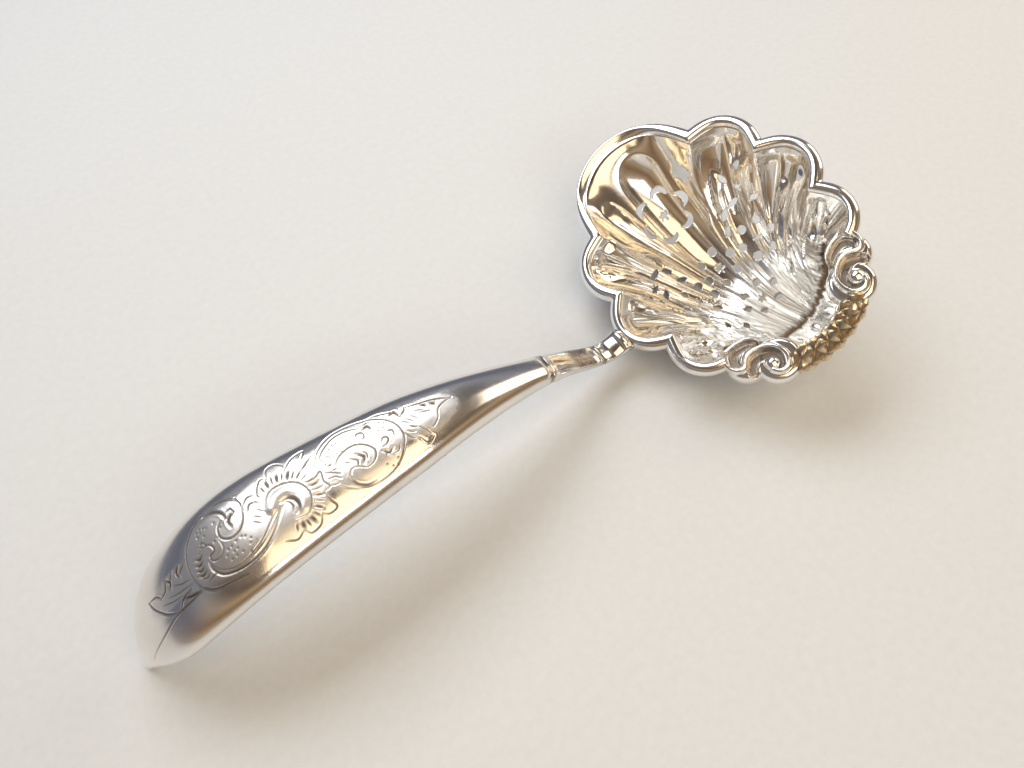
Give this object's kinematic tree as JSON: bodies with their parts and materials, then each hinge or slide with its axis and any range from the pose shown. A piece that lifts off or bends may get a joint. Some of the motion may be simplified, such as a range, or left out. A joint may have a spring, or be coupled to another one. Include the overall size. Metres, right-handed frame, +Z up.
{
  "type": "sugar sifter spoon",
  "caption": "Scallop-shell sifter bowl with pierced rosettes, set crosswise on an arched, leaf-shaped hollow handle.",
  "frame": {"origin": "in the middle of the small worn flat under the bowl, on the table top", "axes": "+Z up from the table, +X from the handle's end towards the bowl, +Y towards the bowl's wide lip"},
  "size_m": [0.1867, 0.0817, 0.0387],
  "materials": {
    "bowl_silver": "polished silver, tarnished in the flutes",
    "border_silver": "bright polished silver",
    "stem_silver": "polished silver, worn",
    "handle_silver": "engraved silver, darkened in the cuts",
    "filling": "matt pitch"
  },
  "bodies": {
    "root": {"bowl": "bowl_silver", "rim_border": "border_silver", "hinge_bar": "border_silver", "scroll_near": "border_silver", "scroll_far": "border_silver", "stem": "stem_silver", "handle_front": "handle_silver", "handle_back": "handle_silver", "handle_core": "filling"}
  },
  "joints": []
}
